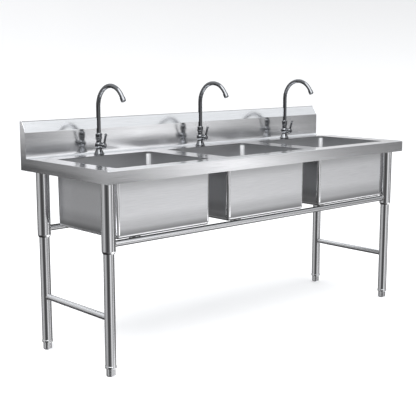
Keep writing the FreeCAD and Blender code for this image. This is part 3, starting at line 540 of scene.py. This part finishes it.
def moulded(name, dark, light, roughness, grain_size):
    """Rubber, plastic or ceramic with a fine moulded grain."""
    material = bpy.data.materials.new(name)
    material.use_nodes = True
    tree = material.node_tree
    nodes, links = tree.nodes, tree.links
    nodes.clear()
    where = nodes.new("ShaderNodeTexCoord")
    where.label = "place on the piece"
    where.location = (-1000, 0)
    grain = nodes.new("ShaderNodeTexNoise")
    grain.label = "moulded grain"
    grain.location = (-800, -100)
    grain.inputs["Scale"].default_value = grain_size
    grain.inputs["Detail"].default_value = 3
    cloud = nodes.new("ShaderNodeTexNoise")
    cloud.label = "dust and handling"
    cloud.location = (-800, 200)
    cloud.inputs["Scale"].default_value = 22
    cloud.inputs["Detail"].default_value = 4
    tone = nodes.new("ShaderNodeValToRGB")
    tone.label = "tones"
    tone.location = (-550, 200)
    tone.color_ramp.elements[0].color = dark
    tone.color_ramp.elements[1].color = light
    gloss = nodes.new("ShaderNodeMapRange")
    gloss.label = "gloss by handling"
    gloss.location = (-550, -60)
    gloss.inputs["To Min"].default_value = roughness - 0.08
    gloss.inputs["To Max"].default_value = roughness + 0.12
    pits = nodes.new("ShaderNodeBump")
    pits.label = "grain as relief"
    pits.location = (-550, -320)
    pits.inputs["Strength"].default_value = 0.2
    pits.inputs["Distance"].default_value = 0.0002
    body = nodes.new("ShaderNodeBsdfPrincipled")
    body.label = "moulded body"
    body.location = (-250, 100)
    out = nodes.new("ShaderNodeOutputMaterial")
    out.label = "moulded surface"
    out.location = (50, 100)
    links.new(where.outputs["Object"], grain.inputs["Vector"])
    links.new(where.outputs["Object"], cloud.inputs["Vector"])
    links.new(cloud.outputs["Fac"], tone.inputs["Fac"])
    links.new(cloud.outputs["Fac"], gloss.inputs["Value"])
    links.new(grain.outputs["Fac"], pits.inputs["Height"])
    links.new(tone.outputs["Color"], body.inputs["Base Color"])
    links.new(gloss.outputs["Result"], body.inputs["Roughness"])
    links.new(pits.outputs["Normal"], body.inputs["Normal"])
    links.new(body.outputs["BSDF"], out.inputs["Surface"])
    colour_group = nodes.new("NodeFrame")
    colour_group.label = "colour and gloss"
    for node in (cloud, tone, gloss):
        node.parent = colour_group
    relief_group = nodes.new("NodeFrame")
    relief_group.label = "relief"
    for node in (grain, pits):
        node.parent = relief_group
    return material


def threaded_metal(name, colour, roughness, pitch):
    """Turned metal with the ridges of a screw thread running round the Z axis."""
    material = polished_metal(name, colour, roughness, 0.08)
    nodes, links = material.node_tree.nodes, material.node_tree.links
    where = next(node for node in nodes if node.bl_idname == "ShaderNodeTexCoord")
    peel = next(node for node in nodes if node.bl_idname == "ShaderNodeBump")
    metal = next(node for node in nodes if node.bl_idname == "ShaderNodeBsdfPrincipled")
    height = nodes.new("ShaderNodeSeparateXYZ")
    height.label = "height"
    height.location = (-950, -520)
    turns = nodes.new("ShaderNodeMath")
    turns.label = "turns of the thread"
    turns.operation = "MULTIPLY"
    turns.location = (-780, -520)
    turns.inputs[1].default_value = 2 * pi / pitch
    wave = nodes.new("ShaderNodeMath")
    wave.label = "crest and root"
    wave.operation = "SINE"
    wave.location = (-610, -520)
    thread = nodes.new("ShaderNodeBump")
    thread.label = "thread"
    thread.location = (-440, -480)
    thread.inputs["Strength"].default_value = 0.9
    thread.inputs["Distance"].default_value = pitch / 6
    links.new(where.outputs["Object"], height.inputs["Vector"])
    links.new(height.outputs["Z"], turns.inputs[0])
    links.new(turns.outputs["Value"], wave.inputs[0])
    links.new(wave.outputs["Value"], thread.inputs["Height"])
    links.new(peel.outputs["Normal"], thread.inputs["Normal"])
    links.new(thread.outputs["Normal"], metal.inputs["Normal"])
    thread_group = nodes.new("NodeFrame")
    thread_group.label = "screw thread"
    for node in (height, turns, wave, thread):
        node.parent = thread_group
    return material


def tube_painted_shade(node):
    """Painted shade for a level tube: full tone along its middle, painted darker along its top and
    bottom.
    """
    low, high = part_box(node)
    middle, half = (low[2] + high[2]) / 2, (high[2] - low[2]) / 2
    bands = ((-1.0, 0.04), (-0.60, 0.06), (-0.40, 0.16), (-0.15, 0.42), (0.10, 0.85), (0.45, 1.0),
             (0.66, 0.40), (0.85, 0.06), (1.0, 0.04))
    return tuple((middle + half * reach, bright) for reach, bright in bands)


def ledge_painted_shadow():
    """Painted shadow for the folded sheet: full tone all the way up, and the ledge along its top painted
    dark.
    """
    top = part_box("worktop_deck")[1][2]
    return (0.70, 1.0), (top - 0.0016, 1.0), (top - 0.0008, 0.22), (top, 0.16)


def swage_painted_shade():
    """Painted shade for a sleeve: full tone over its length, and painted darker where its end is drawn in
    on to the leg.
    """
    low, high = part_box("sleeve_front_left")
    return (low[2], 0.42), (low[2] + 0.005, 0.48), (low[2] + 0.008, 1.0), (high[2], 1.0)


STEEL_DARK, STEEL_LIGHT = (0.74, 0.745, 0.76, 1), (0.86, 0.865, 0.88, 1)
# How tightly brush lines are packed across and along the grain, and the three ways the grain runs.
TIGHT, LOOSE = 34, 0.9
ALONG_X, ALONG_Y, ALONG_Z = (LOOSE, TIGHT, TIGHT), (TIGHT, LOOSE, TIGHT), (TIGHT, TIGHT, LOOSE)
# The basins' painted shade, from just under their floors to the deck: full tone in the middle, painted
# darker towards the folds.
BASIN_PAINTED_SHADE = (
    (0.525, 1.0), (0.536, 1.0), (0.541, 0.40), (0.57, 0.76), (0.62, 1.0), (0.69, 1.0), (0.74, 0.74),
    (0.80, 0.58),
)

# Deck, basin, rail and sleeve steel take painted shade by height as their last argument.
deck_steel = brushed_steel("deck_steel", ALONG_X, 0.15, 0.02, 0.10, ledge_painted_shadow())
end_steel = brushed_steel("end_steel", ALONG_Y, 0.12, 0.02, 0.05)
basin_steel = brushed_steel("basin_steel", ALONG_X, 0.38, 0.04, 0.06, BASIN_PAINTED_SHADE)
leg_steel = brushed_steel("leg_steel", ALONG_Z, 0.09, 0.02, 0.02)
rail_steel = brushed_steel("rail_steel", ALONG_X, 0.14, 0.02, 0.02, tube_painted_shade("front_rail"))
rung_steel = brushed_steel("rung_steel", ALONG_Y, 0.22, 0.02, 0.02)
sleeve_steel = brushed_steel("sleeve_steel", ALONG_Z, 0.09, 0.02, 0.02, swage_painted_shade())
chrome = polished_metal("tap_chrome", (0.20, 0.205, 0.215, 1), 0.05, 0.05)
seam_steel = polished_metal("seam_steel", (0.86, 0.865, 0.88, 1), 0.10, 0.04, 260, 0.10)
# Painted highlight: satin steel brighter than the basins' own, laid in their inner corners; its rougher
# finish is real.
painted_highlight_satin = polished_metal("painted_highlight_satin", (0.96, 0.96, 0.97, 1), 0.52, 0.06, 260, 0.08)
weld_steel = polished_metal("weld_steel", (0.52, 0.51, 0.50, 1), 0.24, 0.10, 620, 0.60)
# Dark metal for the bead laid as a painted shadow line under each opening's edge.
rim_shade = polished_metal("rim_shade", (0.16, 0.16, 0.17, 1), 0.34, 0.10, 300, 0.20)
drain_polish = polished_metal("drain_polish", (0.80, 0.81, 0.82, 1), 0.14, 0.08)
zinc = polished_metal("zinc_plate", (0.66, 0.67, 0.70, 1), 0.26, 0.10)
zinc_thread = threaded_metal("zinc_thread", (0.62, 0.63, 0.66, 1), 0.28, 0.002)
brass = polished_metal("plain_brass", (0.78, 0.60, 0.30, 1), 0.28, 0.10)
rubber = moulded("black_rubber", (0.018, 0.018, 0.018, 1), (0.045, 0.045, 0.045, 1), 0.62, 900)
black_plastic = moulded("black_plastic", (0.022, 0.022, 0.023, 1), (0.05, 0.05, 0.052, 1), 0.42, 1400)
ceramic = moulded("white_ceramic", (0.78, 0.77, 0.74, 1), (0.86, 0.86, 0.84, 1), 0.30, 700)

FINISHES = {
    "worktop_deck": deck_steel, "end_plate": end_steel, "basin": basin_steel,
    "stiffener_channels": deck_steel, "leg_mount_plates": deck_steel,
    "leg_front": leg_steel, "leg_rear": leg_steel,
    "sleeve_front": sleeve_steel, "sleeve_rear": sleeve_steel,
    "front_rail": rail_steel, "rear_rail": rail_steel, "rung": rung_steel,
    "foot_insert": leg_steel, "foot_stem": zinc_thread, "foot": leg_steel,
    "sleeve_set_screws": zinc, "sleeve_weld_nuts": zinc,
    "tap_body": chrome, "tap_spout": chrome, "tap_nozzle": chrome, "tap_lever": chrome,
    "tap_cartridges": ceramic, "tap_gaskets": rubber, "tap_lock_nuts": brass,
    "drain_body": drain_polish, "drain_basket": drain_polish,
    "drain_gaskets": rubber, "drain_lock_nuts": black_plastic,
}


def finish_frame():
    """Give every CAD node the finish whose name is the longest start of its own."""
    for name, node in NODES.items():
        start = max((key for key in FINISHES if name.startswith(key)), key=len)
        node.data.materials.clear()
        node.data.materials.append(FINISHES[start])


# ---------------------------------------------------------------- seams and weld beads


# Sizes the pieces below share with the CAD: the sheet, the splashback's section and the basins' corners.
GAUGE = 0.0012
DECK_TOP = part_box("tap_gaskets")[0][2]
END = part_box("end_plate_right")[1][0]
SPLASH_REACH, SPLASH_LEDGE, SPLASH_FACE = 0.040, 0.015, 0.106
BASIN_FLANGE = 0.008
CORNER_ROUND = 0.015
TAPER = radians(0.6)
QUARTERS = ((1, 1), (-1, 1), (-1, -1), (1, -1))
# Thicknesses of the beads and strips, and how far they stand clear of the CAD's faces.
RIM_PAINTED_SHADOW, END_SEAM = 0.0026, 0.0016
OUTER_SWELL, INNER_SWELL, CLEAR = 0.0004, -0.0003, 0.0001
RAIL_WELD, RUNG_WELD, SLEEVE_WELD = 0.0034, 0.0032, 0.0036


def adopt(piece, material, body):
    """Give a new piece its finish and the body it moves with."""
    if piece.name not in bpy.context.scene.collection.objects:
        bpy.context.scene.collection.objects.link(piece)
    piece.data.materials.append(material)
    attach(piece, body)
    return piece


def bead(name, runs, thickness, material, closed=True, body="sink"):
    """A round bead laid along each run of points."""
    curve = bpy.data.curves.new(name, "CURVE")
    curve.dimensions = "3D"
    curve.bevel_depth = thickness / 2
    curve.bevel_resolution = 2
    curve.use_fill_caps = not closed
    for run in runs:
        spline = curve.splines.new("POLY")
        spline.points.add(len(run) - 1)
        for point, spot in zip(spline.points, run):
            point.co = (*spot, 1)
        spline.use_cyclic_u = closed
        spline.use_smooth = True
    return adopt(bpy.data.objects.new(name, curve), material, body)


def rounded_loop(middle, half, radius, height, steps=6):
    """Points round a level rectangle with rounded corners."""
    loop = []
    across, along = half[0] - radius, half[1] - radius
    for quarter, (right, back) in enumerate(QUARTERS):
        hub = Vector((middle[0] + right * across, middle[1] + back * along, height))
        for i in range(steps + 1):
            angle = (quarter + i / steps) * pi / 2
            loop.append(hub + radius * Vector((cos(angle), sin(angle), 0)))
    return loop


def rounded_line(corners, radius, steps=4):
    """Points along an open line of straight runs, with an arc at each inner corner."""
    line = [corners[0]]
    for before, corner, after in zip(corners, corners[1:], corners[2:]):
        back, on = (before - corner).normalized(), (after - corner).normalized()
        half = back.angle(on) / 2
        start, end = (corner + way * radius / tan(half) for way in (back, on))
        hub = corner + (back + on).normalized() * radius / sin(half)
        for i in range(steps + 1):
            spoke = start.lerp(end, i / steps) - hub
            line.append(hub + spoke.normalized() * radius)
    return line + [corners[-1]]


def basin_place(side):
    """The middle of a basin's rim, seen from above, and half its length and width at the wall's face."""
    low, high = (Vector(corner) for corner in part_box("basin_" + side))
    middle, half = (low + high) / 2, (high - low) / 2
    return middle.to_2d(), half.to_2d() - Vector((BASIN_FLANGE, BASIN_FLANGE))


def add_basin_seams():
    """A dark bead under each opening's edge as a painted shadow line, the ground seams down the basins'
    outer corners, and satin strips in their inner corners as a painted highlight.
    """
    for side in SIDES:
        middle, half = basin_place(side)
        inset = Vector((2 * CLEAR, 2 * CLEAR))
        loop = rounded_loop(middle, half - inset, CORNER_ROUND, DECK_TOP - 1.6 * GAUGE)
        # Painted shadow: a dark bead just under the opening's edge.
        bead(f"rim_painted_shadow_{side}", [loop], RIM_PAINTED_SHADOW, rim_shade)
        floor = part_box("basin_" + side)[0][2]
        outer, inner = CORNER_ROUND + GAUGE + CLEAR, CORNER_ROUND - CLEAR
        corner_strips(f"outer_seams_{side}", middle, half, floor, outer, OUTER_SWELL, seam_steel)
        # Painted highlight: brighter satin strips down each basin's inner corners.
        corner_strips(f"inner_highlight_strips_{side}", middle, half, floor, inner, INNER_SWELL, painted_highlight_satin)


def corner_strips(name, middle, half, floor, reach, swell, material, columns=6):
    """Four upright strips that wrap a basin's rounded corners and taper with them.

    reach is the strips' radius at the rim, and swell is their thickness, inwards where it is negative.
    """
    head, heel = DECK_TOP - 0.010, floor + 0.016
    levels = (head, (DECK_TOP + floor) / 2, heel)
    points, faces = [], []
    for quarter, (right, back) in enumerate(QUARTERS):
        hub = middle + Vector((right * (half[0] - CORNER_ROUND), back * (half[1] - CORNER_ROUND)))
        first = len(points)
        for level in levels:
            radius = reach - (DECK_TOP - GAUGE - level) * tan(TAPER)
            for i in range(columns + 1):
                angle = (quarter + i / columns) * pi / 2
                points.append((hub[0] + radius * cos(angle), hub[1] + radius * sin(angle), level))
        for row in range(len(levels) - 1):
            for i in range(columns):
                a = first + row * (columns + 1) + i
                b = a + columns + 1
                faces.append((a, b, b + 1, a + 1))
    mesh = bpy.data.meshes.new(name)
    mesh.from_pydata(points, [], faces)
    mesh.polygons.foreach_set("use_smooth", [True] * len(mesh.polygons))
    strips = bpy.data.objects.new(mesh.name, mesh)
    skin = strips.modifiers.new("thickness", "SOLIDIFY")
    skin.thickness = abs(swell)
    skin.offset = 1 if swell > 0 else -1
    edge = strips.modifiers.new("edges", "BEVEL")
    edge.width = 0.0001
    edge.segments = 2
    adopt(strips, material, "sink")


def add_end_seams():
    """The ground weld that joins each end plate to the folded sheet, from the apron to the ledge."""
    low, high = (Vector(corner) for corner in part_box("worktop_deck"))
    front, back = low[1], high[1]
    skirt, top = low[2], high[2]
    face, ledge, slope_foot = back - SPLASH_REACH, back - SPLASH_LEDGE, DECK_TOP + SPLASH_FACE
    outline = [(front, skirt + 0.001), (front, DECK_TOP), (face, DECK_TOP), (face, slope_foot),
               (ledge, top), (back, top)]
    for name, way in (("left", -1), ("right", 1)):
        corners = [Vector((way * (END - GAUGE / 2), y, z)) for y, z in outline]
        bead(f"end_seam_{name}", [rounded_line(corners, 0.003)], END_SEAM, seam_steel,
             closed=False)


def saddle(node, hub, tube_reach, post_reach, way, along):
    """Points round the end of a level tube where it is coped on to an upright post."""
    low, high = (Vector(corner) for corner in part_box(node))
    middle = (low + high) / 2
    run, steps = [], 28
    for i in range(steps):
        angle = 2 * pi * i / steps
        across, up = tube_reach * cos(angle), tube_reach * sin(angle)
        out = way * (post_reach ** 2 - across ** 2) ** 0.5
        if along == "x":
            run.append(Vector((hub[0] + out, hub[1] + across, middle[2] + up)))
        else:
            run.append(Vector((hub[0] + across, hub[1] + out, middle[2] + up)))
    return run


def half_size(node, axis):
    """Half the size of a CAD node along one axis."""
    low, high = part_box(node)
    return (high[axis] - low[axis]) / 2


def add_frame_welds():
    """The weld beads round the ends of the rails and rungs, and round the tops of the sleeves."""
    hubs = {}
    for corner in CORNERS:
        low, high = (Vector(spot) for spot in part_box("leg_" + corner))
        hubs[corner] = (low + high) / 2
    leg_reach, sleeve_reach = half_size("leg_front_left", 0), half_size("sleeve_front_left", 0)
    tube_reach = half_size("front_rail", 2)
    sleeve_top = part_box("sleeve_front_left")[1][2]
    rails, rungs, collars = [], [], []
    for row, node in (("front", "front_rail"), ("rear", "rear_rail")):
        rails.append(saddle(node, hubs[row + "_left"], tube_reach, sleeve_reach, 1, "x"))
        rails.append(saddle(node, hubs[row + "_right"], tube_reach, sleeve_reach, -1, "x"))
    for side in ("left", "right"):
        rungs.append(saddle("rung_" + side, hubs["front_" + side], tube_reach, leg_reach, 1, "y"))
        rungs.append(saddle("rung_" + side, hubs["rear_" + side], tube_reach, leg_reach, -1, "y"))
    for hub in hubs.values():
        collars.append(rounded_loop(hub, (sleeve_reach, sleeve_reach), sleeve_reach, sleeve_top - 0.001))
    bead("rail_welds", rails, RAIL_WELD, weld_steel)
    bead("rung_welds", rungs, RUNG_WELD, weld_steel)
    bead("sleeve_welds", collars, SLEEVE_WELD, weld_steel)


# ---------------------------------------------------------------- tap fittings


# The rings turned on each tap: how high they stand above the gasket, the reach of the wall they swell
# from, their swell and rise, and whether they turn with the spout.
TAP_RINGS = (
    ("base_ring", 0.0, 0.0205, 0.0035, 0.0030, False),
    ("neck_ring", 0.0600, 0.0115, 0.0022, 0.0030, False),
    ("collar_ring_low", 0.0690, 0.0135, 0.0014, 0.0026, True),
    ("collar_ring_high", 0.0850, 0.0135, 0.0014, 0.0026, True),
)
SPOUT_SWEEP = radians(150)
NOZZLE_BORE, GAUZE_DEPTH = 0.0065, 0.0065


def turned(name, profile, hub, material, body, steps=48):
    """A piece turned round an upright axis from half sections, given as pairs of reach and height."""
    mesh = bpy.data.meshes.new(name)
    points = [(reach, 0, height) for reach, height in profile]
    edges = [(i, (i + 1) % len(points)) for i in range(len(points))]
    mesh.from_pydata(points, edges, [])
    piece = bpy.data.objects.new(name, mesh)
    bpy.context.scene.collection.objects.link(piece)
    sweep = piece.modifiers.new("turning", "SCREW")
    sweep.steps = steps
    sweep.render_steps = steps
    sweep.use_merge_vertices = True
    sweep.merge_threshold = 0.00001
    settle(piece, Matrix.Translation(hub))
    smooth = piece.modifiers.new("edges", "BEVEL")
    smooth.width = 0.0003
    smooth.segments = 2
    smooth.limit_method = "ANGLE"
    return adopt(piece, material, body)


def settle(piece, place):
    """Work out a piece's modifiers so far, put its place into its mesh and point its faces outwards."""
    bpy.context.view_layer.update()
    whole = bpy.data.meshes.new_from_object(piece.evaluated_get(bpy.context.evaluated_depsgraph_get()))
    piece.modifiers.clear()
    piece.data = whole
    shape = bmesh.new()
    shape.from_mesh(whole)
    bmesh.ops.remove_doubles(shape, verts=shape.verts, dist=0.00001)
    bmesh.ops.recalc_face_normals(shape, faces=shape.faces)
    shape.transform(place)
    shape.to_mesh(whole)
    shape.free()
    whole.polygons.foreach_set("use_smooth", [True] * len(whole.polygons))


def add_tap_fittings():
    """Raised rings on each tap's body and spout collar, and the aerator in its nozzle."""
    low, high = (Vector(corner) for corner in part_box("tap_gaskets"))
    for side in SIDES:
        left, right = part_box("basin_" + side)
        seat = Vector((left[0] / 2 + right[0] / 2, (low[1] + high[1]) / 2, high[2]))
        for name, height, reach, swell, rise, turns in TAP_RINGS:
            body = "spout_" + side if turns else "sink"
            tap_ring(f"{name}_{side}", seat + Vector((0, 0, height)), reach, swell, rise, body)
        add_aerator(side)


def tap_ring(name, foot, reach, swell, rise, body, steps=6):
    """A half-round ring that swells from an upright wall of a given reach."""
    profile = [(reach - 0.001, 0), (reach - 0.001, rise)]
    for i in range(steps + 1):
        angle = pi / 2 - pi * i / steps
        profile.append((reach + swell * cos(angle), rise / 2 + rise / 2 * sin(angle)))
    return turned(name, profile, foot, chrome, body)


def add_aerator(side, rings=3, spokes=12):
    """The gauze in the nozzle's mouth: rings and spokes of wire across the bore."""
    low, high = (Vector(corner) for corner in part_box("tap_nozzle_" + side))
    facing = Matrix.Rotation(SPOUT_SWEEP, 4, "X")
    mouth = (low + high) / 2 + facing @ Vector((0, 0, GAUZE_DEPTH))
    runs = []
    for k in range(1, rings + 1):
        reach = NOZZLE_BORE * k / rings
        runs.append([mouth + facing @ Vector((reach * cos(a), reach * sin(a), 0))
                     for a in (2 * pi * i / 24 for i in range(24))])
    bead(f"aerator_rings_{side}", runs, 0.0008, drain_polish, body="spout_" + side)
    spread = []
    for k in range(spokes // 2):
        angle = pi * k / (spokes // 2)
        tip = facing @ Vector((NOZZLE_BORE * cos(angle), NOZZLE_BORE * sin(angle), 0))
        spread.append([mouth - tip, mouth + tip])
    bead(f"aerator_spokes_{side}", spread, 0.0006, drain_polish, closed=False,
         body="spout_" + side)


add_camera()
add_floor()
add_studio_light()
finish_frame()
add_basin_seams()
add_end_seams()
add_frame_welds()
add_tap_fittings()
